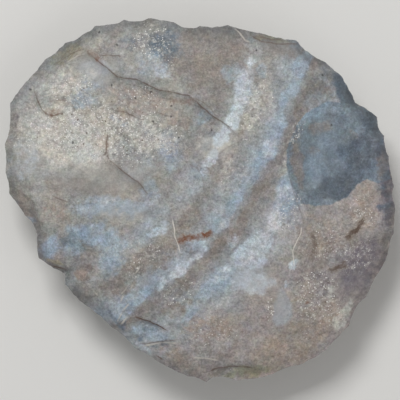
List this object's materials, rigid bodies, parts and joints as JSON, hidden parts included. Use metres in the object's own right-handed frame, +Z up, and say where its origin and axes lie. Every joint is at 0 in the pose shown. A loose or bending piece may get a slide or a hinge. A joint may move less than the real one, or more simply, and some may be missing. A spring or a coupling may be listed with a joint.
{
  "type": "flint scraper",
  "caption": "Round scraper of knapped flint with a steep retouched edge all round, lying on its worked back.",
  "frame": {"origin": "middle of the plan, on the plane of the flat facet that the stone rests on", "axes": "+Z up through the thickness, from the worked back to the flatter face; +X along the longest extent"},
  "size_m": [0.06, 0.056, 0.0134],
  "materials": {
    "flint": "satin banded grey flint with cream, blue and brown patches"
  },
  "bodies": {
    "root": {"flint_scraper": "flint"}
  },
  "joints": []
}
